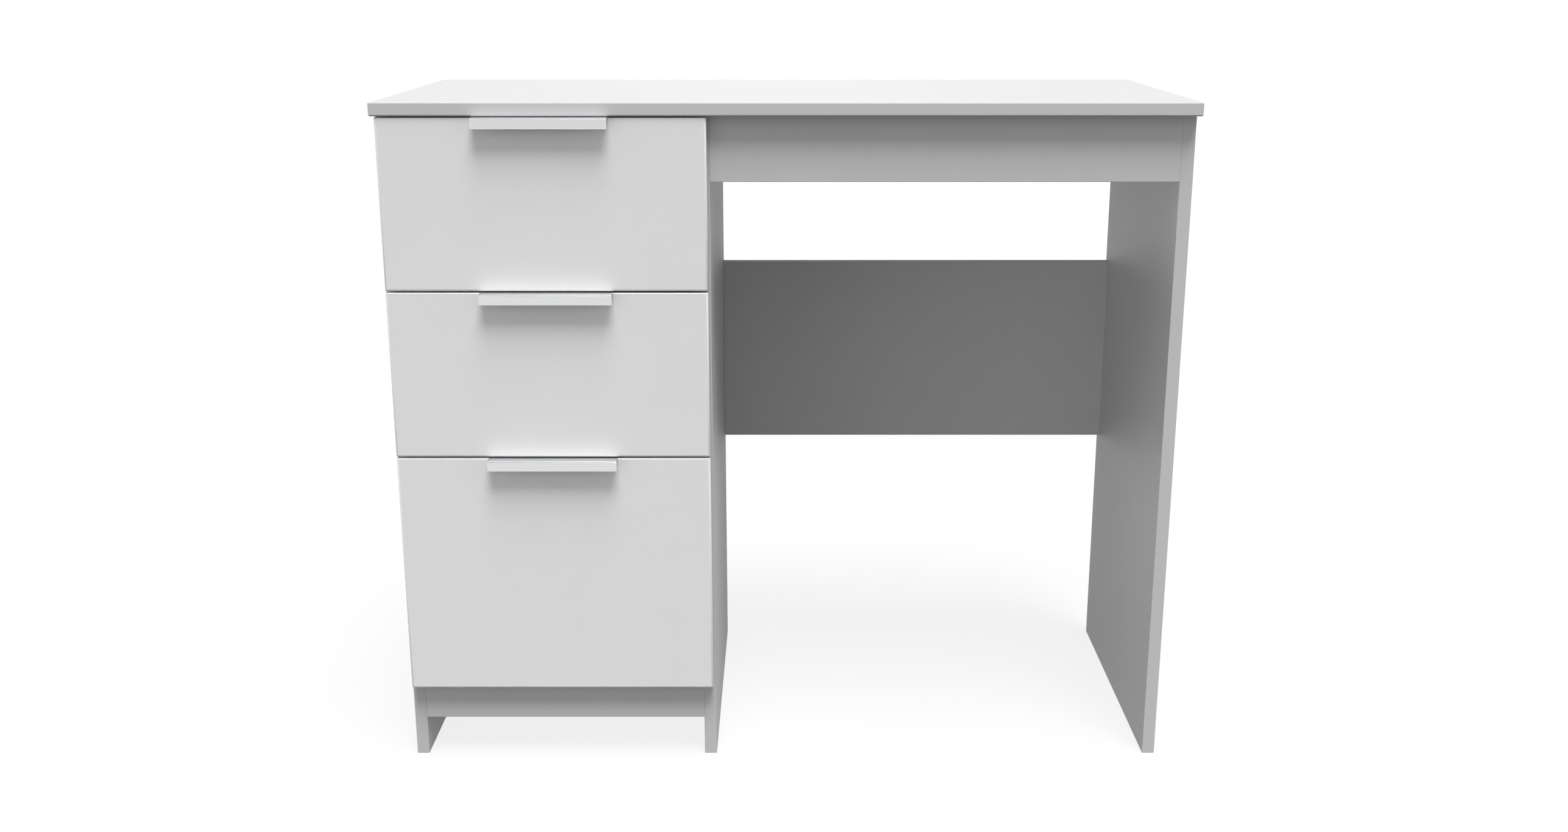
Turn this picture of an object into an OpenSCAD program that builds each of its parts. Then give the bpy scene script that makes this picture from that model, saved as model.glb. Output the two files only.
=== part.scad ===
// Writing desk: a board-built desk with a three-drawer pedestal on the left, an open
// knee space, an apron rail and a modesty panel. Millimetres, +Z up, the front faces -Y,
// +X is to the right as seen from the front. The origin is on the floor, at the middle
// of the overall width and depth.

/* [Desktop] */
// Width of the desktop
desktop_w = 930; // [900:5:1200]
// Depth of the desktop, front edge to back edge
desktop_d = 415; // [415:5:600]
// Height of the desktop's upper face above the floor
desk_h = 805; // [760:5:850]
// How far the desktop stands past the panels at each side
side_overhang = 2.5; // [0:0.5:20]
// How far the desktop stands past the panels at the back
back_overhang = 7.5; // [0:0.5:20]
// Radius of the desktop's lower edges at the front and the ends
desktop_low_r = 2; // [0.5:0.1:3]
// Radius of the desktop's upper edges at the front and the ends
desktop_high_r = 0.8; // [0.5:0.1:3]

/* [Carcass boards] */
// Thickness of every carcass board
board_t = 15; // [15:1:18]
// Width over the pedestal's two side panels
pedestal_w = 376; // [340:2:450]
// Open height under the plinth rail
plinth_gap = 49.5; // [20:0.5:80]
// Height of the plinth rail
plinth_h = 45; // [45:1:70]
// Height of the apron rail over the knee space
apron_h = 75; // [60:1:110]
// Height of the modesty panel
modesty_h = 250; // [150:5:350]
// Height of the modesty panel's lower edge above the floor
modesty_z = 309; // [200:1:350]
// How far the modesty panel is set in from the panels' back edges
modesty_inset = 2; // [0:0.5:30]
// Thickness of the pedestal's hardboard back
back_t = 3; // [3:0.5:6]
// How far the hardboard back is set in from the panels' back edges
back_inset = 9; // [6:0.5:20]
// Depth of the grooves that hold hardboard
groove_d = 5; // [4:0.5:6]

/* [Drawer fronts] */
// Thickness of a drawer front
front_t = 15; // [15:1:18]
// Gap between one front and the next
front_gap = 2; // [2:0.5:4]
// Gap between the top front and the desktop
top_gap = 1.5; // [1.5:0.5:4]
// Gap between the fronts' back faces and the panels' front edges
buffer_gap = 1.5; // [0.5:0.5:3]
// How far the fronts are set in from the pedestal's outer faces
front_side_inset = 2.5; // [0:0.5:6]
// Height of the bottom drawer's front, which is the deep one
deep_front_h = 295; // [260:5:310]
// How far the bottom front's lower edge is above the base board's underside
bottom_front_rise = 2; // [0:0.5:6]
// Radius of a front's side and lower edges
front_edge_r = 2.5; // [1:0.5:4]
// Radius of a front's upper edge
front_top_r = 0.8; // [0.5:0.1:4]

/* [Drawer boxes] */
// Thickness of a drawer's sides and back
box_t = 12; // [12:0.5:14]
// Length of a drawer's sides
box_l = 350; // [350:10:370]
// Height of the sides of the two upper drawers
low_side_h = 120; // [90:5:130]
// Height of the sides of the bottom drawer
deep_side_h = 200; // [150:5:220]
// Thickness of a drawer's hardboard base
base_t = 3; // [3:0.5:4]
// Height of a drawer's base above the lower edge of its sides
base_rise = 8; // [8:0.5:12]

/* [Roller runners] */
// Space between a drawer's side and the carcass panel
runner_gap = 12.5; // [12.5:0.5:13]
// Length of each runner
runner_l = 350; // [350:10:360]
// Thickness of the runners' sheet steel
steel_t = 1.2; // [1:0.1:1.4]
// Radius of a runner's roller
roller_r = 7.7; // [7:0.1:7.7]
// Width of a runner's roller
roller_w = 5.6; // [5:0.1:5.6]
// Height of the rolling channel inside a runner
channel_h = 16; // [16:0.5:17]
// Height of the rolling channel's floor above the front's lower edge
track_rise = 23.5; // [23.5:0.5:26]

/* [Handles] */
// Length of a handle
handle_w = 152; // [100:2:200]
// How far a handle's lip stands in front of the drawer's face
handle_proj = 15; // [13:0.5:25]
// Height of a handle at its lip
handle_drop = 12.5; // [10:0.5:20]
// Thickness of a handle's top plate and back flange
plate_t = 1; // [1:0.1:1.2]
// Thickness of a handle's lip
lip_t = 1.5; // [1.2:0.1:3]
// Height of the flange that is screwed behind the drawer front
flange_h = 19; // [16:1:24]

/* [Hidden] */
$fn = 48;

DRAWERS = ["bottom", "middle", "top"];
SIDES = ["left", "right"];
CARCASS_NODES = ["desktop", "left_side_panel", "centre_side_panel", "right_end_panel",
    "pedestal_base", "plinth_rail", "pedestal_back", "knee_apron", "modesty_panel",
    "panel_dowels", "cam_locks", "cam_bolts", "back_panel_pins", "cabinet_runner_screws"];

// Depth positions, with the footprint's middle at y = 0
face_setback = 2;
lip_y = -(desktop_d + handle_proj - face_setback) / 2;
face_y = lip_y + handle_proj;
top_y0 = face_y - face_setback;
top_y1 = top_y0 + desktop_d;
front_y1 = face_y + front_t;
panel_y0 = front_y1 + buffer_gap;
panel_y1 = top_y1 - back_overhang;
back_y1 = panel_y1 - back_inset;
back_y0 = back_y1 - back_t;
rail_y = panel_y0 + board_t / 2;
modesty_y = panel_y1 - modesty_inset - board_t / 2;

// Width positions
left_x0 = -desktop_w / 2 + side_overhang;
left_x1 = left_x0 + board_t;
centre_x1 = left_x0 + pedestal_w;
centre_x0 = centre_x1 - board_t;
right_x1 = desktop_w / 2 - side_overhang;
right_x0 = right_x1 - board_t;
pedestal_x = (left_x0 + centre_x1) / 2;
panel_xs = [left_x0 + board_t / 2, centre_x0 + board_t / 2, right_x0 + board_t / 2];
inner_half_w = (centre_x0 - left_x1) / 2;
box_half_w = inner_half_w - runner_gap;
front_w = pedestal_w - 2 * front_side_inset;

// Height positions
under_z = desk_h - board_t;
base_z0 = plinth_gap + plinth_h;
base_z = base_z0 + board_t / 2;
apron_z0 = under_z - apron_h;
lowest_front_z = base_z0 + bottom_front_rise;
low_front_h = (under_z - top_gap - lowest_front_z - deep_front_h - 2 * front_gap) / 2;

// One drawer's own heights: i is 0 for the bottom drawer, 1 for the middle, 2 for the top
function is_deep(i) = i == 0;
function front_h(i) = is_deep(i) ? deep_front_h : low_front_h;
function side_h(i) = is_deep(i) ? deep_side_h : low_side_h;
function front_z(i) = lowest_front_z
    + (is_deep(i) ? 0 : deep_front_h + front_gap + (i - 1) * (low_front_h + front_gap));
function track_z(i) = front_z(i) + track_rise;
function box_z(i) = track_z(i) - wrap_drop;
function box_floor_z(i) = box_z(i) + base_rise + base_t;
function fixing_zs(i) = [for (share = [0.35, 0.8]) box_z(i) + share * side_h(i)];

// Drawer boxes, from the panel's inner face towards the pedestal's middle
box_y1 = front_y1 + box_l;
box_back_y = box_y1 - box_t / 2;
side_in = runner_gap + box_t;
groove_play = 0.2;
tongue = groove_d - 0.5;

// Runners: the drawer's member wraps under the drawer side and reaches into the channel
wrap_drop = 2;
rest_play = 0.3;
lift_play = 0.5;
member_inset = 2;
member_y0 = panel_y0 + member_inset;
member_y1 = member_y0 + runner_l;
channel_w = 10;
lift_in_l = 45;
end_stop_h = 10;
wrap_edge_in = 0.5;
roller_z = rest_play + roller_r;
roller_from_end = 12;
cabinet_roller_y = member_y0 + roller_from_end;
drawer_roller_y = box_y1 - roller_from_end;
reach_in = 3;
pin_r = 2;
pin_play = 0.05;
collar_r = 3.5;
pin_head_r = 3.2;
pin_head_t = 0.6;
side_play = 0.15;
roller_rim_t = 1.2;
roller_dish_d = 0.8;
hub_wall_t = 0.4;
cabinet_roller_s = 3.2;
drawer_roller_s = 3.8;
panel_screw_ys = [member_y0 + 45, member_y0 + 165, member_y0 + 300];
wrap_screw_ys = [front_y1 + 40, front_y1 + 170, front_y1 + 310];
wrap_screw_s = runner_gap + 4;

// Wood screws, dowels and cam fittings
screw_r = 1.6;
screw_play = 0.05;
screw_head_r = 3;
screw_head_t = 1.4;
cross_w = 0.7;
cross_l = 3.2;
cross_d = 0.8;
panel_screw_l = 12;
wrap_screw_l = 15;
handle_screw_l = 11;
back_screw_l = 30;
floor_screw_l = 14;
csk_t = 1.8;
csk_cross_d = 0.9;
nail_r = 0.9;
nail_l = 20;
nail_head_r = 1.8;
nail_head_t = 0.6;
dowel_r = 4;
dowel_face_l = 9;
dowel_end_l = 20;
dowel_play = 0.05;
cam_set = 24;
cam_r = 7.5;
cam_t = 12.5;
cam_sink = 0.2;
cam_play = 0.1;
cam_slot_t = 1.6;
cam_slot_d = 2;
small_cam_r = 6;
small_cam_t = 10.5;
bolt_r = 2.5;
bolt_thread_r = 2.9;
bolt_thread_l = 9;
bolt_head_r = 3;
bolt_bore_r = 3.5;
thread_play = 0.1;
handle_screw_x = handle_w / 2 - 26;
back_nail_xs = [for (k = [-1.5:1:1.5]) k * 95];
floor_screw_xs = [-100, 0, 100];
back_top_play = 0.5;

// How far the dowels and cam bolts are from the edges of the boards that they join
apron_dowel_in = 12.5;
apron_top_dowel_in = 130;
modesty_dowel_in = 30;
modesty_cam_in = 65;
base_dowel_in = [33, 45];
base_cam_in = [73, 85];
plinth_dowel_in = 11;
top_dowel_in = 45;
top_cam_in = 85;

// ---------- placing helpers ----------

// Turns +Z onto the unit vector v
module along(v) {
    rotate([0, acos(v.z), atan2(v.y, v.x)]) children();
}

module box(x, y, z) {
    translate([x[0], y[0], z[0]])
        cube([x[1] - x[0], y[1] - y[0], z[1] - z[0]]);
}

// The pedestal's left side: a child's x is its distance from the panel's inner face, and
// its z is its height above z
module at_left(z) {
    translate([pedestal_x - inner_half_w, 0, z]) children();
}

// The same child, mirrored to the pedestal's right side
module at_right(z) {
    translate([pedestal_x + inner_half_w, 0, z]) mirror([1, 0, 0]) children();
}

module both_sides(z) {
    at_left(z) children();
    at_right(z) children();
}

module on_side(side, z) {
    if (side == "left")
        at_left(z) children();
    else
        at_right(z) children();
}

// ---------- joints between boards ----------
// A joint is [point, inward]: the point is where the dowel or bolt crosses between the
// two boards, and inward points into the board whose end is joined.
function end_joints(x0, x1, ys, zs) = [for (y = ys) for (z = zs)
    each [[[x0, y, z], [1, 0, 0]], [[x1, y, z], [-1, 0, 0]]]];

function top_joints(xs, ys) = [for (x = xs) for (y = ys) [[x, y, under_z], [0, 0, -1]]];

apron_dowels = end_joints(centre_x1, right_x0, [rail_y],
    [apron_z0 + apron_dowel_in, under_z - apron_dowel_in]);
apron_cams = end_joints(centre_x1, right_x0, [rail_y], [under_z - apron_h / 2]);
modesty_dowels = end_joints(centre_x1, right_x0, [modesty_y],
    [modesty_z + modesty_dowel_in, modesty_z + modesty_h - modesty_dowel_in]);
modesty_cams = end_joints(centre_x1, right_x0, [modesty_y],
    [modesty_z + modesty_cam_in, modesty_z + modesty_h - modesty_cam_in]);
base_dowels = end_joints(left_x1, centre_x0,
    [panel_y0 + base_dowel_in[0], back_y0 - base_dowel_in[1]], [base_z]);
base_cams = end_joints(left_x1, centre_x0,
    [panel_y0 + base_cam_in[0], back_y0 - base_cam_in[1]], [base_z]);
plinth_dowels = end_joints(left_x1, centre_x0, [rail_y],
    [plinth_gap + plinth_dowel_in, base_z0 - plinth_dowel_in]);
top_dowels = top_joints(panel_xs, [panel_y0 + top_dowel_in, panel_y1 - top_dowel_in]);
apron_top_dowels = top_joints([centre_x1 + apron_top_dowel_in, (centre_x1 + right_x0) / 2,
    right_x0 - apron_top_dowel_in], [rail_y]);
top_cam_ys = [panel_y0 + top_cam_in, panel_y1 - top_cam_in];
top_cams = top_joints(panel_xs, top_cam_ys);

module dowel_at(joint, play) {
    translate(joint[0]) along(joint[1]) translate([0, 0, -dowel_face_l - play])
        cylinder(r = dowel_r - dowel_play + play, h = dowel_face_l + dowel_end_l + 2 * play);
}

module dowel_holes(joints) {
    for (j = joints)
        dowel_at(j, dowel_play);
}

// The cam bolts' holes: threaded into one board's face, and a clear bore into the other
module bolt_holes(joints, bore_r = bolt_bore_r) {
    for (j = joints)
        translate(j[0]) along(j[1]) {
            translate([0, 0, -bolt_thread_l - thread_play])
                cylinder(r = bolt_thread_r + thread_play, h = bolt_thread_l + 2 * thread_play);
            cylinder(r = bore_r, h = cam_set);
        }
}

// The pockets that the cams sit in: out is the way a cam's face looks
module cam_pockets(joints, out, r = cam_r, t = cam_t, thick = board_t) {
    for (j = joints)
        translate(j[0] + cam_set * j[1] + (thick / 2 + 1) * out) along(-out)
            cylinder(r = r, h = t + 1);
}

module cam_lock_at(joint, out, r = cam_r, t = cam_t, thick = board_t) {
    slot_l = r * 1.2;
    difference() {
        translate(joint[0] + cam_set * joint[1] + (thick / 2 - cam_sink) * out) along(-out)
            difference() {
                cylinder(r = r - cam_play, h = t - cam_sink - cam_play);
                for (a = [45, 135])
                    rotate([0, 0, a]) translate([-slot_l / 2, -cam_slot_t / 2, -1])
                        cube([slot_l, cam_slot_t, cam_slot_d + 1]);
            }
        translate(joint[0]) along(joint[1])
            cylinder(r = bolt_head_r + 0.3, h = cam_set + 4);
    }
}

module cam_bolt_at(joint) {
    neck_z = cam_set - 5;
    translate(joint[0]) along(joint[1]) {
        translate([0, 0, -bolt_thread_l])
            cylinder(r = bolt_thread_r, h = bolt_thread_l);
        cylinder(r = bolt_r, h = neck_z);
        translate([0, 0, neck_z]) cylinder(r = bolt_r - 1, h = 3);
        translate([0, 0, neck_z + 3]) cylinder(r = bolt_head_r, h = 4);
    }
}

// A pan-head screw: the head's seat is at z = 0 and the shaft runs to +Z
module pan_screw(l) {
    cylinder(r = screw_r, h = l);
    translate([0, 0, -screw_head_t])
        difference() {
            cylinder(r = screw_head_r, h = screw_head_t);
            for (a = [0, 90])
                rotate([0, 0, a]) cross_slot(cross_d);
        }
}

// One slot of a cross recess, sunk to +Z from z = 0
module cross_slot(depth) {
    translate([-cross_l / 2, -cross_w / 2, -1]) cube([cross_l, cross_w, 1 + depth]);
}

// A countersunk screw: the head's face is at z = 0 and the shaft runs to +Z
module csk_screw(l) {
    difference() {
        union() {
            cylinder(r1 = screw_head_r, r2 = screw_r, h = csk_t);
            translate([0, 0, csk_t]) cylinder(r = screw_r, h = l - csk_t);
        }
        for (a = [0, 90])
            rotate([0, 0, a]) cross_slot(csk_cross_d);
    }
}

module pilot_hole(l) {
    translate([0, 0, -0.5]) cylinder(r = screw_r + screw_play, h = l + 1);
}

// ---------- carcass ----------

// A board's section, l long and t thick, whose two corners at 0 are rounded
module edged_section(l, t, low_r, high_r) {
    translate([0, low_r]) square([l, t - low_r - high_r]);
    translate([low_r, 0]) square([l - low_r, t / 2]);
    translate([high_r, t / 2]) square([l - high_r, t / 2]);
    translate([low_r, low_r]) circle(low_r);
    translate([high_r, t - high_r]) circle(high_r);
}

// The same section with both its ends rounded, centred on 0
module centred_section(l, t, low_r, high_r) {
    for (m = [0, 1])
        mirror([m, 0]) translate([-l / 2, 0])
            edged_section(0.6 * l, t, low_r, high_r);
}

module desktop() {
    color("white")
        difference() {
            translate([0, top_y0, under_z]) desktop_board();
            dowel_holes(concat(top_dowels, apron_top_dowels));
            bolt_holes(top_cams);
        }
}

// The desktop before its joint holes, rounded at the front and both ends
module desktop_board() {
    intersection() {
        translate([-desktop_w / 2, 0, 0]) rotate([90, 0, 90]) linear_extrude(desktop_w)
            edged_section(desktop_d, board_t, desktop_low_r, desktop_high_r);
        translate([0, desktop_d, 0]) rotate([90, 0, 0]) linear_extrude(desktop_d)
            centred_section(desktop_w, board_t, desktop_low_r, desktop_high_r);
    }
}

// One upright panel, before its joint holes
module upright(x0) {
    box([x0, x0 + board_t], [panel_y0, panel_y1], [0, under_z]);
}

// The groove for the pedestal's back and the runner screws' holes, for the left panel
module pedestal_side_cuts() {
    box([-groove_d, 1], [back_y0, back_y1 + groove_play], [-1, under_z + 1]);
    for (i = [0:2])
        for (y = panel_screw_ys)
            translate([0, y, track_z(i) + roller_z]) rotate([0, -90, 0])
                pilot_hole(panel_screw_l - steel_t);
}

module left_side_panel() {
    color("white")
        difference() {
            upright(left_x0);
            at_left(0) pedestal_side_cuts();
            dowel_holes(concat(base_dowels, plinth_dowels, top_dowels));
            bolt_holes(concat(base_cams, top_cams));
            cam_pockets(top_joints([panel_xs[0]], top_cam_ys), [1, 0, 0]);
        }
}

module centre_side_panel() {
    color("white")
        difference() {
            upright(centre_x0);
            at_right(0) pedestal_side_cuts();
            dowel_holes(concat(base_dowels, plinth_dowels, top_dowels));
            dowel_holes(concat(apron_dowels, modesty_dowels));
            bolt_holes(concat(base_cams, apron_cams, modesty_cams, top_cams));
            cam_pockets(top_joints([panel_xs[1]], top_cam_ys), [-1, 0, 0]);
        }
}

module right_end_panel() {
    color("white")
        difference() {
            upright(right_x0);
            dowel_holes(concat(apron_dowels, modesty_dowels, top_dowels));
            bolt_holes(concat(apron_cams, modesty_cams, top_cams));
            cam_pockets(top_joints([panel_xs[2]], top_cam_ys), [-1, 0, 0]);
        }
}

module pedestal_base() {
    color("white")
        difference() {
            box([left_x1, centre_x0], [panel_y0, back_y0], [base_z0, base_z0 + board_t]);
            dowel_holes(base_dowels);
            bolt_holes(base_cams);
            cam_pockets(base_cams, [0, 0, -1]);
            back_nails(screw_play);
        }
}

module plinth_rail() {
    color("white")
        difference() {
            box([left_x1, centre_x0], [panel_y0, panel_y0 + board_t], [plinth_gap, base_z0]);
            dowel_holes(plinth_dowels);
        }
}

module pedestal_back() {
    color("burlywood")
        difference() {
            box([left_x1 - tongue, centre_x0 + tongue], [back_y0, back_y1],
                [base_z0, under_z - back_top_play]);
            back_nails(screw_play);
        }
}

module knee_apron() {
    color("white")
        difference() {
            box([centre_x1, right_x0], [panel_y0, panel_y0 + board_t], [apron_z0, under_z]);
            dowel_holes(concat(apron_dowels, apron_top_dowels));
            bolt_holes(apron_cams);
            cam_pockets(apron_cams, [0, 1, 0]);
        }
}

module modesty_panel() {
    color("white")
        difference() {
            box([centre_x1, right_x0], [modesty_y - board_t / 2, modesty_y + board_t / 2],
                [modesty_z, modesty_z + modesty_h]);
            dowel_holes(modesty_dowels);
            bolt_holes(modesty_cams);
            cam_pockets(modesty_cams, [0, 1, 0]);
        }
}

module panel_dowels() {
    color("tan")
        for (j = concat(apron_dowels, modesty_dowels, base_dowels, plinth_dowels,
                top_dowels, apron_top_dowels))
            dowel_at(j, 0);
}

module cam_locks() {
    color("silver") {
        for (j = concat(apron_cams, modesty_cams))
            cam_lock_at(j, [0, 1, 0]);
        for (j = base_cams)
            cam_lock_at(j, [0, 0, -1]);
        for (j = top_cams)
            cam_lock_at(j, [j[0].x < pedestal_x ? 1 : -1, 0, 0]);
    }
}

module cam_bolts() {
    color("gainsboro")
        for (j = concat(apron_cams, modesty_cams, base_cams, top_cams))
            cam_bolt_at(j);
}

// Shafts of the panel pins that hold the hardboard back to the base board's rear edge
module back_nails(play) {
    for (x = back_nail_xs)
        translate([pedestal_x + x, back_y1, base_z]) rotate([90, 0, 0])
            translate([0, 0, -play]) cylinder(r = nail_r + play, h = nail_l + 2 * play);
}

module back_panel_pins() {
    color("silver") {
        back_nails(0);
        for (x = back_nail_xs)
            translate([pedestal_x + x, back_y1, base_z]) rotate([-90, 0, 0])
                cylinder(r = nail_head_r, h = nail_head_t);
    }
}

module cabinet_runner_screws() {
    color("silver")
        for (i = [0:2])
            both_sides(track_z(i) + roller_z)
                for (y = panel_screw_ys)
                    translate([steel_t, y, 0]) rotate([0, -90, 0]) pan_screw(panel_screw_l);
}

// ---------- roller runners ----------
// Local x is the distance from the panel's inner face, local z = 0 is the channel's floor.

// A riveted stub pin along X, with a collar at one side of its roller and a head at the
// other. It grows from the web at x = web towards x = tip.
module roller_pin(web, s) {
    towards = s > web ? 1 : -1;
    near = towards > 0 ? s - side_play : s + roller_w + side_play;
    far = towards > 0 ? s + roller_w + side_play : s - side_play;
    translate([web, 0, 0]) rotate([0, 90 * towards, 0]) {
        cylinder(r = collar_r, h = abs(near - web));
        cylinder(r = pin_r, h = abs(far - web) + pin_head_t);
        translate([0, 0, abs(far - web)]) cylinder(r = pin_head_r, h = pin_head_t);
    }
}

module cabinet_runner(side, i) {
    color("whitesmoke")
        on_side(side, track_z(i))
            difference() {
                union() {
                    box([0, steel_t], [member_y0, member_y1],
                        [-steel_t, channel_h + steel_t + lift_play + steel_t]);
                    box([0, channel_w], [member_y0, member_y1], [-steel_t, 0]);
                    box([0, channel_w], [member_y0 + lift_in_l, member_y1],
                        [channel_h + steel_t + lift_play, channel_h + 2 * steel_t + lift_play]);
                    box([0, channel_w], [member_y1 - steel_t, member_y1],
                        [-steel_t, end_stop_h]);
                    translate([0, cabinet_roller_y, roller_z])
                        roller_pin(steel_t, cabinet_roller_s);
                }
                for (y = panel_screw_ys)
                    translate([0, y, roller_z]) rotate([0, 90, 0]) pilot_hole(steel_t);
            }
}

module drawer_runner(side, i) {
    web = [runner_gap - steel_t, runner_gap];
    color("whitesmoke")
        on_side(side, track_z(i))
            difference() {
                union() {
                    box(web, [front_y1, box_y1], [-wrap_drop - steel_t, channel_h + steel_t]);
                    box([reach_in, runner_gap], [front_y1, box_y1],
                        [channel_h, channel_h + steel_t]);
                    box([web[0], side_in - wrap_edge_in], [front_y1, box_y1],
                        [-wrap_drop - steel_t, -wrap_drop]);
                    translate([0, drawer_roller_y, roller_z])
                        roller_pin(web[0], drawer_roller_s);
                }
                for (y = wrap_screw_ys)
                    translate([wrap_screw_s, y, -wrap_drop - steel_t]) pilot_hole(steel_t);
            }
}

// A nylon roller with its bore along X, starting at local x = s
module roller(s) {
    rotate([0, 90, 0]) translate([0, 0, s])
        difference() {
            cylinder(r = roller_r, h = roller_w);
            translate([0, 0, -1]) cylinder(r = pin_r + pin_play, h = roller_w + 2);
            for (z = [-1, roller_w - roller_dish_d])
                translate([0, 0, z])
                    difference() {
                        cylinder(r = roller_r - roller_rim_t, h = 1 + roller_dish_d);
                        translate([0, 0, -1])
                            cylinder(r = collar_r + hub_wall_t, h = roller_dish_d + 3);
                    }
        }
}

module cabinet_roller(side, i) {
    color("ivory")
        on_side(side, track_z(i) + roller_z) translate([0, cabinet_roller_y, 0])
            roller(cabinet_roller_s);
}

module drawer_roller(side, i) {
    color("ivory")
        on_side(side, track_z(i) + roller_z) translate([0, drawer_roller_y, 0])
            roller(drawer_roller_s);
}

// ---------- drawers ----------

// A flat board whose four front edges are rounded
module soft_front(w, h) {
    intersection() {
        linear_extrude(h)
            rotate([0, 0, 90]) translate([0, -w / 2])
                edged_section(front_t, w, front_edge_r, front_edge_r);
        translate([-w / 2, 0, 0]) rotate([90, 0, 90]) linear_extrude(w)
            edged_section(front_t, h, front_edge_r, front_top_r);
    }
}

module drawer_front(i) {
    color("white")
        difference() {
            translate([pedestal_x, face_y, front_z(i)]) soft_front(front_w, front_h(i));
            translate([pedestal_x, 0, 0])
                box([-box_half_w + box_t - groove_d, box_half_w - box_t + groove_d],
                    [front_y1 - groove_d, front_y1 + 1],
                    [box_floor_z(i) - base_t, box_floor_z(i) + groove_play]);
            bolt_holes(front_joints(i));
            handle_screws_at(i) pilot_hole(handle_screw_l);
        }
}

// Where the front's cam bolts cross from its back face into the ends of the sides
function side_joint_xs() = [pedestal_x - box_half_w + box_t / 2,
    pedestal_x + box_half_w - box_t / 2];
function front_joints(i) = [for (x = side_joint_xs()) for (z = fixing_zs(i))
    [[x, front_y1, z], [0, 1, 0]]];

module handle_screws_at(i) {
    for (x = [-1, 1])
        translate([pedestal_x + x * handle_screw_x, front_y1 + plate_t,
                front_z(i) + front_h(i) - flange_h / 2])
            rotate([90, 0, 0]) children();
}

// An edge pull: a lip in front, a plate over the front's top edge, and a flange behind
module drawer_handle(i) {
    top_z = plate_t;
    lip_z = top_z - handle_drop;
    back_y = handle_proj + front_t;
    nick = 0.4;
    nick_z1 = top_z - 0.8;
    nick_z0 = nick_z1 - 0.6;
    color("lightgray")
        difference() {
            translate([pedestal_x - handle_w / 2, lip_y, front_z(i) + front_h(i)])
                rotate([90, 0, 90]) linear_extrude(handle_w)
                    polygon([
                        [nick, lip_z], [lip_t, lip_z], [lip_t, 0],
                        [back_y, 0], [back_y, -flange_h],
                        [back_y + plate_t, -flange_h], [back_y + plate_t, top_z],
                        [0, top_z], [0, nick_z1], [nick, nick_z1],
                        [nick, nick_z0], [0, nick_z0], [0, lip_z + nick]
                    ]);
            handle_screws_at(i) pilot_hole(plate_t);
        }
}

// Where the screws cross from the sides' outer faces into the drawer's back
module back_screws_at(i) {
    both_sides(0)
        for (z = fixing_zs(i))
            translate([runner_gap, box_back_y, z]) rotate([0, 90, 0]) children();
}

module floor_screws_at(i) {
    for (x = floor_screw_xs)
        translate([pedestal_x + x, box_back_y, box_floor_z(i) - base_t]) children();
}

module wrap_screws_at(i) {
    both_sides(track_z(i) - wrap_drop - steel_t)
        for (y = wrap_screw_ys)
            translate([wrap_screw_s, y, 0]) children();
}

module drawer_side(side, i) {
    color("white")
        difference() {
            on_side(side, box_z(i))
                difference() {
                    box([runner_gap, side_in], [front_y1, box_y1], [0, side_h(i)]);
                    box([side_in - groove_d, side_in + 1], [front_y1 - 1, box_y1 + 1],
                        [base_rise, base_rise + base_t + groove_play]);
                }
            bolt_holes(front_joints(i));
            for (j = front_joints(i))
                cam_pockets([j], cam_out(j), small_cam_r, small_cam_t, box_t);
            back_screws_at(i) csk_hole(box_t);
            wrap_screws_at(i) pilot_hole(wrap_screw_l);
        }
}

module csk_hole(l) {
    pilot_hole(l);
    translate([0, 0, -0.3])
        cylinder(r1 = screw_head_r + 0.3 + screw_play, r2 = screw_r + screw_play,
            h = csk_t + 0.3);
}

// The cams' faces look out of the drawer, at the carcass panels
function cam_out(joint) = [joint[0].x < pedestal_x ? -1 : 1, 0, 0];

module drawer_back(i) {
    half_w = box_half_w - box_t;
    color("white")
        difference() {
            box([pedestal_x - half_w, pedestal_x + half_w], [box_y1 - box_t, box_y1],
                [box_floor_z(i), box_z(i) + side_h(i)]);
            back_screws_at(i) pilot_hole(back_screw_l);
            floor_screws_at(i) pilot_hole(floor_screw_l);
        }
}

module drawer_base(i) {
    half_w = box_half_w - box_t + tongue;
    color("white")
        difference() {
            box([pedestal_x - half_w, pedestal_x + half_w], [front_y1 - tongue, box_y1],
                [box_floor_z(i) - base_t, box_floor_z(i)]);
            floor_screws_at(i) pilot_hole(base_t);
        }
}

module drawer_fixings(i) {
    color("silver") {
        for (j = front_joints(i)) {
            cam_bolt_at(j);
            cam_lock_at(j, cam_out(j), small_cam_r, small_cam_t, box_t);
        }
        handle_screws_at(i) pan_screw(handle_screw_l);
        back_screws_at(i) csk_screw(back_screw_l);
        floor_screws_at(i) pan_screw(floor_screw_l);
        wrap_screws_at(i) pan_screw(wrap_screw_l);
    }
}

// ---------- the nodes ----------

desktop();
left_side_panel();
centre_side_panel();
right_end_panel();
pedestal_base();
plinth_rail();
pedestal_back();
knee_apron();
modesty_panel();
panel_dowels();
cam_locks();
cam_bolts();
back_panel_pins();
cabinet_runner_screws();

for (i = [0:2]) {
    drawer = str(DRAWERS[i], "_drawer_");
    drawer_front(i);
    drawer_handle(i);
    drawer_back(i);
    drawer_base(i);
    drawer_fixings(i);
    for (side = SIDES) {
        cabinet = str(DRAWERS[i], "_cabinet_", side);
        drawer_side(side, i);
        drawer_runner(side, i);
        drawer_roller(side, i);
        cabinet_runner(side, i);
        cabinet_roller(side, i);
    }
}
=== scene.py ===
"""The looks of the writing desk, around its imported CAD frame. Metres, in the row frame."""
import math

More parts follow.
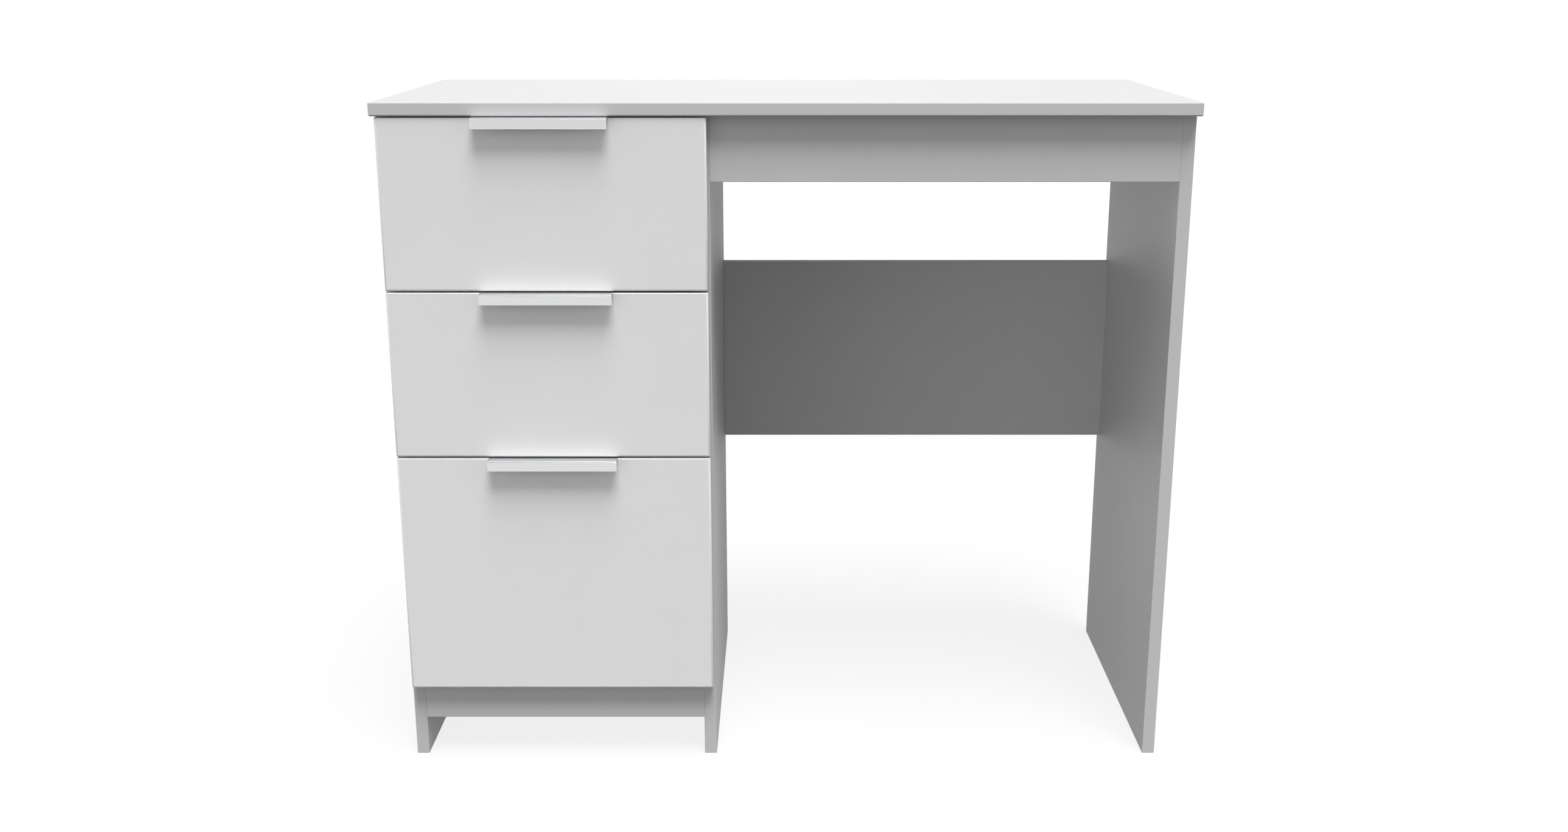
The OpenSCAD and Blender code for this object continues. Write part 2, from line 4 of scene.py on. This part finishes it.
import bpy
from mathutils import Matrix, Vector


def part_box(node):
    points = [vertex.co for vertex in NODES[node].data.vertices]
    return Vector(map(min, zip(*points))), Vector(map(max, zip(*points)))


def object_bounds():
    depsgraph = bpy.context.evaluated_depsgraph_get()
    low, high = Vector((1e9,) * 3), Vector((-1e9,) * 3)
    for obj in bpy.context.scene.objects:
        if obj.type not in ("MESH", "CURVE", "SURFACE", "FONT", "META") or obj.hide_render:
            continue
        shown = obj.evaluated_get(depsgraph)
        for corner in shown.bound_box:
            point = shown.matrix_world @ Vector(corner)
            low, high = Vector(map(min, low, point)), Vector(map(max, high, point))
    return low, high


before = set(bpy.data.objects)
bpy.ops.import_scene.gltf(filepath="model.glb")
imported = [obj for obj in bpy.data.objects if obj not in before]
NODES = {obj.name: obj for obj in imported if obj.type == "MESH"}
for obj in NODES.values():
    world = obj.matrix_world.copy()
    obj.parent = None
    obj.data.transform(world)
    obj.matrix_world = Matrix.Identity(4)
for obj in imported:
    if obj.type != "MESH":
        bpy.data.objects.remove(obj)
cad_low, cad_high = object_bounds()

PANELS = ("left_side_panel", "centre_side_panel", "right_end_panel")
OTHER_BOARDS = ("desktop", "pedestal_base", "plinth_rail", "knee_apron", "modesty_panel")
STEEL_FIXINGS = ("cam_bolts", "back_panel_pins", "cabinet_runner_screws")
DRAWERS = ("bottom", "middle", "top")
SIDES = ("left", "right")
MM = 0.001
AXES = "xyz"

# Sides of a part, each an axis of the row frame and a sign
UP = ("z", 1)
DOWN = ("z", -1)
FORWARD = ("y", -1)

# Radius of each kind of part's softened edges
BOARD_EDGE = 0.6 * MM
DRAWER_BOARD_EDGE = 0.5 * MM
RUNNER_EDGE = 0.3 * MM
HANDLE_EDGE = 0.15 * MM

# How edges are softened: the steps round an edge, the angle from which an edge is sharp, the
# angle up to which neighbouring faces are one, and the distance up to which two points are one
EDGE_STEPS = 2
SHARP_ANGLE = math.radians(35)
FLAT_ANGLE = math.radians(1)
SAME_POINT = 1e-6

# The photograph's camera, solved from the desk's straight edges. It stands at the middle of
# the desk's width, this far in front of the desktop and this high, tilted down
CAMERA_DISTANCE = 1.8066
CAMERA_HEIGHT = 0.9405
CAMERA_TILT = math.radians(15.64)
CAMERA_SENSOR_MM = 36.0
CAMERA_LENS_MM = 36.73
CAMERA_SHIFT = (-0.00115, 0.00503)
CAMERA_REACH = 1000.0

# Width of the floor, far enough for its end to stay out of the picture, and its own light
FLOOR_SIZE = 400.0
FLOOR_GLOW = 0.83

# Name, azimuth, elevation, width and strength of each soft lamp, in degrees and W/m2
LAMPS = (
    ("key", 15.0, 70.0, 28.0, 3.4),
    ("overhead", 45.0, 80.0, 20.0, 0.45),
    ("front", 0.0, 24.0, 36.0, 0.12),
    ("front_left", -35.0, -6.0, 40.0, 0.24),
    ("left", -70.0, 18.0, 50.0, 0.34),
    ("right", 70.0, 18.0, 50.0, 0.34),
    ("behind", 180.0, -8.0, 24.0, 0.9),
)

# Strength of the room's own light, from below and from above, and the height of a direction
# (its sine) within which one becomes the other
ROOM_LOW = 0.08
ROOM_HIGH = 0.32
ROOM_FADE = 0.3

WHITE = (1.0, 1.0, 1.0, 1.0)


# ---------- materials ----------


class Look:
    """A procedural material on one Principled shader. Its patterns are in row-frame metres.

    A method's value or colour is a plain one or another method's result.
    """

    def __init__(self, name, **sockets):
        self.material = bpy.data.materials.new(name)
        self.material.use_nodes = True
        self.tree = self.material.node_tree
        self.shader = self.tree.nodes["Principled BSDF"]
        self.place = self.tree.nodes.new("ShaderNodeTexCoord")
        for socket, value in sockets.items():
            self.shader.inputs[socket.replace("_", " ")].default_value = value

    def add(self, kind, **settings):
        node = self.tree.nodes.new("ShaderNode" + kind)
        for key, value in settings.items():
            setattr(node, key, value)
        return node

    def feed(self, socket, source):
        """Links a node's output to a socket, or sets the socket to a plain value."""
        if isinstance(source, bpy.types.NodeSocket):
            self.tree.links.new(source, socket)
        else:
            socket.default_value = source

    def drive(self, name, source):
        """Gives the shader's input of this name its value."""
        self.feed(self.shader.inputs[name], source)

    def maths(self, operation, first, second=0.0):
        node = self.add("Math", operation=operation)
        self.feed(node.inputs[0], first)
        self.feed(node.inputs[1], second)
        return node.outputs["Value"]

    def ramp(self, value, start, stop, low=0.0, high=1.0):
        """value from start to stop becomes low to high, with a soft start and end."""
        node = self.add("MapRange", interpolation_type="SMOOTHSTEP")
        for socket, source in zip(node.inputs, (value, start, stop, low, high)):
            self.feed(socket, source)
        return node.outputs["Result"]

    def mapped(self, scale, offset):
        """Places in the row frame, scaled along each axis and then moved."""
        node = self.add("Mapping")
        self.feed(node.inputs["Vector"], self.place.outputs["Object"])
        node.inputs["Scale"].default_value = scale
        node.inputs["Location"].default_value = offset
        return node.outputs["Vector"]

    def noise(self, per_metre, detail=2.0, offset=(0.0, 0.0, 0.0)):
        """A noise of about 0 to 1, with this many lumps in a metre along each axis."""
        node = self.add("TexNoise")
        self.feed(node.inputs["Vector"], self.mapped(per_metre, offset))
        node.inputs["Scale"].default_value = 1.0
        node.inputs["Detail"].default_value = detail
        return node.outputs["Fac"]

    def grains(self, per_metre):
        """Cells with a random value each, and the distance from each cell's middle."""
        node = self.add("TexVoronoi")
        self.feed(node.inputs["Vector"], self.mapped(per_metre, (0.0, 0.0, 0.0)))
        node.inputs["Scale"].default_value = 1.0
        parts = self.add("SeparateColor")
        self.feed(parts.inputs["Color"], node.outputs["Color"])
        return parts.outputs["Red"], node.outputs["Distance"]

    def tint(self, share, first, second):
        """The first colour where share is 0, the second where it is 1, and between them."""
        node = self.add("Mix", data_type="RGBA")
        self.feed(node.inputs["Factor"], share)
        colours = [socket for socket in node.inputs if socket.type == "RGBA"]
        for socket, source in zip(colours, (first, second)):
            self.feed(socket, opaque(source))
        return next(socket for socket in node.outputs if socket.type == "RGBA")

    def normal_part(self, axis):
        """The surface normal's part along one axis of the row frame."""
        parts = self.add("SeparateXYZ")
        self.feed(parts.inputs["Vector"], self.place.outputs["Normal"])
        return parts.outputs[AXES.index(axis)]

    def facing(self, side):
        """1 where the surface faces a side, 0 where it doesn't."""
        axis, sign = side
        towards = self.maths("MULTIPLY", self.normal_part(axis), sign)
        return self.ramp(towards, 0.6, 0.8)

    def bump(self, height, depth, strength=1.0):
        """Lights the surface as if height, from 0 to 1, stood this many metres deep."""
        node = self.add("Bump")
        self.feed(node.inputs["Height"], height)
        node.inputs["Distance"].default_value = depth
        self.feed(node.inputs["Strength"], strength)
        self.feed(self.shader.inputs["Normal"], node.outputs["Normal"])


def opaque(colour):
    """A plain colour with its alpha, or a node's colour as it is."""
    return colour if isinstance(colour, bpy.types.NodeSocket) else (*colour, 1.0)


def every_way(per_metre):
    return (per_metre, per_metre, per_metre)


def thin_axis(node):
    """The axis across a board's faces."""
    low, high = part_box(node)
    size = high - low
    return min(AXES, key=lambda a: size[AXES.index(a)])


def chipboard(look):
    """The colour of a raw chipboard edge: pressed wood chips with dark gaps."""
    chip, gap = look.grains((420.0, 420.0, 900.0))
    body = look.tint(chip, (0.50, 0.36, 0.22), (0.70, 0.55, 0.37))
    return look.tint(look.ramp(gap, 0.45, 0.75), body, (0.28, 0.18, 0.10))


def board_look(node, name, colour, roughness, raw=(), **sockets):
    """A faced board with a fine pearl texture and edge bands. Its raw sides show chipboard."""
    look = Look(f"{name}_{node}", **sockets)
    cloud = look.noise(every_way(14.0), detail=3.0)
    face = look.tint(look.ramp(cloud, 0.3, 0.7), [c * 0.99 for c in colour], colour)
    across = look.maths("ABSOLUTE", look.normal_part(thin_axis(node)))
    banded = look.ramp(across, 0.55, 0.45)
    surface = look.tint(banded, face, [c * 0.97 for c in colour])
    for side in raw:
        surface = look.tint(look.facing(side), surface, chipboard(look))
    look.drive("Base Color", surface)
    pearl = look.noise(every_way(900.0), detail=2.0, offset=(3.0, 1.0, 2.0))
    look.drive("Roughness", look.ramp(pearl, 0.3, 0.7, roughness - 0.02, roughness + 0.02))
    look.bump(look.noise(every_way(1100.0)), 0.02 * MM, 0.6)
    return look.material


def melamine(node, raw=()):
    return board_look(node, "matt_white_melamine", (0.62, 0.62, 0.63), 0.55, raw,
                      Specular_IOR_Level=0.25)


def gloss_front(node):
    return board_look(node, "white_gloss_foil", (0.845, 0.845, 0.85), 0.30,
                      Coat_Weight=0.3, Coat_Roughness=0.2)


def drawer_foil(node):
    return board_look(node, "drawer_foil", (0.78, 0.78, 0.78), 0.5)


def hardboard(node, coated):
    """Brown hardboard with one side coated white."""
    look = Look(f"hardboard_{node}")
    fibres = look.noise(every_way(420.0), detail=6.0)
    cloud = look.noise(every_way(9.0), detail=3.0, offset=(5.0, 2.0, 1.0))
    mixed = look.maths("ADD", look.maths("MULTIPLY", fibres, 0.75),
                       look.maths("MULTIPLY", cloud, 0.25))
    brown = look.tint(look.ramp(mixed, 0.3, 0.7), (0.33, 0.21, 0.115), (0.43, 0.29, 0.165))
    coat = look.facing(coated)
    look.drive("Base Color", look.tint(coat, brown, (0.76, 0.76, 0.75)))
    look.drive("Roughness", look.ramp(coat, 0.0, 1.0, 0.72, 0.45))
    look.bump(look.noise(every_way(700.0), detail=4.0), 0.05 * MM)
    return look.material


def beech():
    look = Look("beech", Roughness=0.6)
    grain = look.noise(every_way(160.0), detail=6.0)
    look.drive("Base Color", look.tint(look.ramp(grain, 0.3, 0.7),
                                       (0.56, 0.38, 0.22), (0.70, 0.52, 0.34)))
    look.bump(grain, 0.05 * MM)
    return look.material


def satin_aluminium():
    """Aluminium brushed along its length, with fine bright and dark lines."""
    look = Look("satin_aluminium", Metallic=1.0)
    lines = look.noise((6.0, 2600.0, 2600.0), detail=3.0)
    look.drive("Base Color", look.tint(look.ramp(lines, 0.3, 0.7),
                                       (0.64, 0.645, 0.655), (0.70, 0.705, 0.71)))
    look.drive("Roughness", look.ramp(lines, 0.3, 0.7, 0.16, 0.24))
    look.bump(lines, 0.001 * MM)
    return look.material


def white_epoxy():
    look = Look("white_epoxy_steel")
    cloud = look.noise(every_way(60.0), detail=3.0)
    look.drive("Base Color", look.tint(cloud, (0.76, 0.76, 0.745), (0.80, 0.80, 0.785)))
    look.drive("Roughness", look.ramp(cloud, 0.3, 0.7, 0.34, 0.42))
    look.bump(look.noise(every_way(1500.0)), 0.03 * MM, 0.5)
    return look.material


def bare_metal(name, dark, light, roughness, per_metre):
    """Metal with a mottled finish, of this many lumps in a metre."""
    look = Look(name, Metallic=1.0)
    cloud = look.noise(every_way(per_metre), detail=4.0)
    look.drive("Base Color", look.tint(look.ramp(cloud, 0.3, 0.7), dark, light))
    look.drive("Roughness", look.ramp(cloud, 0.3, 0.7, roughness - 0.06, roughness + 0.06))
    look.bump(look.noise(every_way(1800.0)), 0.01 * MM, 0.5)
    return look.material


def zinc_alloy():
    return bare_metal("zinc_alloy", (0.50, 0.50, 0.51), (0.62, 0.62, 0.63), 0.42, 400.0)


def plated_steel():
    return bare_metal("plated_steel", (0.66, 0.66, 0.62), (0.76, 0.77, 0.78), 0.28, 250.0)


def nylon():
    look = Look("nylon", Subsurface_Weight=0.15, Subsurface_Scale=0.002)
    cloud = look.noise(every_way(300.0), detail=3.0)
    look.drive("Base Color", look.tint(cloud, (0.82, 0.82, 0.78), (0.87, 0.87, 0.84)))
    look.drive("Roughness", look.ramp(cloud, 0.3, 0.7, 0.36, 0.46))
    look.bump(cloud, 0.01 * MM)
    return look.material


# ---------- the desk ----------


def paint(node, material):
    """Gives a CAD node its material."""
    mesh = NODES[node].data
    mesh.materials.clear()
    mesh.materials.append(material)


def soften(node, radius):
    """Rounds a CAD node's sharp edges a little, as a real edge is."""
    modifiers = NODES[node].modifiers
    weld = modifiers.new("weld", "WELD")
    weld.merge_threshold = SAME_POINT
    flat = modifiers.new("flat_faces", "DECIMATE")
    flat.decimate_type = "DISSOLVE"
    flat.angle_limit = FLAT_ANGLE
    round_over = modifiers.new("edge_rounding", "BEVEL")
    round_over.width = radius
    round_over.segments = EDGE_STEPS
    round_over.limit_method = "ANGLE"
    round_over.angle_limit = SHARP_ANGLE
    round_over.harden_normals = True
    round_over.use_clamp_overlap = False


def finish_carcass(steel):
    for node in PANELS:
        paint(node, melamine(node, raw=(DOWN, UP)))
    for node in OTHER_BOARDS:
        paint(node, melamine(node))
    for node in PANELS + OTHER_BOARDS:
        soften(node, BOARD_EDGE)
    paint("pedestal_back", hardboard("pedestal_back", coated=FORWARD))
    paint("panel_dowels", beech())
    paint("cam_locks", zinc_alloy())
    for node in STEEL_FIXINGS:
        paint(node, steel)


def finish_drawer(drawer, steel, handle_metal, runner_paint, roller_nylon):
    own = f"{drawer}_drawer_"
    paint(own + "front", gloss_front(own + "front"))
    soften(own + "front", DRAWER_BOARD_EDGE)
    paint(own + "handle", handle_metal)
    soften(own + "handle", HANDLE_EDGE)
    for board in (own + "back", own + "left_side", own + "right_side"):
        paint(board, drawer_foil(board))
        soften(board, DRAWER_BOARD_EDGE)
    paint(own + "base", hardboard(own + "base", coated=UP))
    paint(own + "fixings", steel)
    for side in SIDES:
        for member in (own + side, f"{drawer}_cabinet_{side}"):
            paint(member + "_runner", runner_paint)
            soften(member + "_runner", RUNNER_EDGE)
            paint(member + "_roller", roller_nylon)


def finish_desk():
    steel = plated_steel()
    handle_metal = satin_aluminium()
    runner_paint = white_epoxy()
    roller_nylon = nylon()
    finish_carcass(steel)
    for drawer in DRAWERS:
        finish_drawer(drawer, steel, handle_metal, runner_paint, roller_nylon)


# ---------- the stage ----------


def add_camera():
    data = bpy.data.cameras.new("camera")
    data.sensor_width = CAMERA_SENSOR_MM
    data.lens = CAMERA_LENS_MM
    data.shift_x, data.shift_y = CAMERA_SHIFT
    data.clip_end = CAMERA_REACH
    camera = bpy.data.objects.new("camera", data)
    desk_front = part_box("desktop")[0].y
    camera.location = (0.0, desk_front - CAMERA_DISTANCE, CAMERA_HEIGHT)
    camera.rotation_euler = (math.radians(90.0) - CAMERA_TILT, 0.0, 0.0)
    bpy.context.scene.collection.objects.link(camera)
    bpy.context.scene.camera = camera


def add_floor():
    """A pale floor that shows a faint shadow, and is seen by the eye and in gloss only."""
    bpy.ops.mesh.primitive_plane_add(size=FLOOR_SIZE, location=(0.0, 0.0, cad_low.z))
    floor = bpy.context.object
    floor.name = "floor"
    look = Look("pale_floor", Roughness=0.6, Emission_Strength=FLOOR_GLOW)
    cloud = look.noise(every_way(1.5))
    look.drive("Base Color", look.tint(cloud, (0.09, 0.09, 0.09), (0.11, 0.11, 0.11)))
    look.drive("Emission Color", WHITE)
    floor.data.materials.append(look.material)
    floor.visible_diffuse = False
    floor.visible_shadow = False


def add_sun(name, azimuth, elevation, width, strength):
    """A far, round soft lamp: azimuth 0 is in front of the desk and 90 at its right."""
    data = bpy.data.lights.new(name, "SUN")
    data.angle = math.radians(width)
    data.energy = strength
    sun = bpy.data.objects.new(name, data)
    a, e = math.radians(azimuth), math.radians(elevation)
    towards = Vector((math.sin(a) * math.cos(e), -math.cos(a) * math.cos(e), math.sin(e)))
    sun.rotation_euler = towards.to_track_quat("Z", "Y").to_euler()
    bpy.context.scene.collection.objects.link(sun)


def add_room_light():
    """A white room that is brighter above than below."""
    world = bpy.data.worlds.new("studio")
    bpy.context.scene.world = world
    world.use_nodes = True
    tree = world.node_tree
    place = tree.nodes.new("ShaderNodeTexCoord")
    parts = tree.nodes.new("ShaderNodeSeparateXYZ")
    strength = tree.nodes.new("ShaderNodeMapRange")
    tree.links.new(place.outputs["Generated"], parts.inputs["Vector"])
    tree.links.new(parts.outputs["Z"], strength.inputs["Value"])
    for socket, value in (("From Min", -ROOM_FADE), ("From Max", ROOM_FADE),
                          ("To Min", ROOM_LOW), ("To Max", ROOM_HIGH)):
        strength.inputs[socket].default_value = value
    tree.links.new(strength.outputs["Result"], tree.nodes["Background"].inputs["Strength"])
    tree.nodes["Background"].inputs["Color"].default_value = WHITE


finish_desk()
add_camera()
add_floor()
add_room_light()
for lamp in LAMPS:
    add_sun(*lamp)
bpy.context.scene.view_settings.view_transform = "Standard"
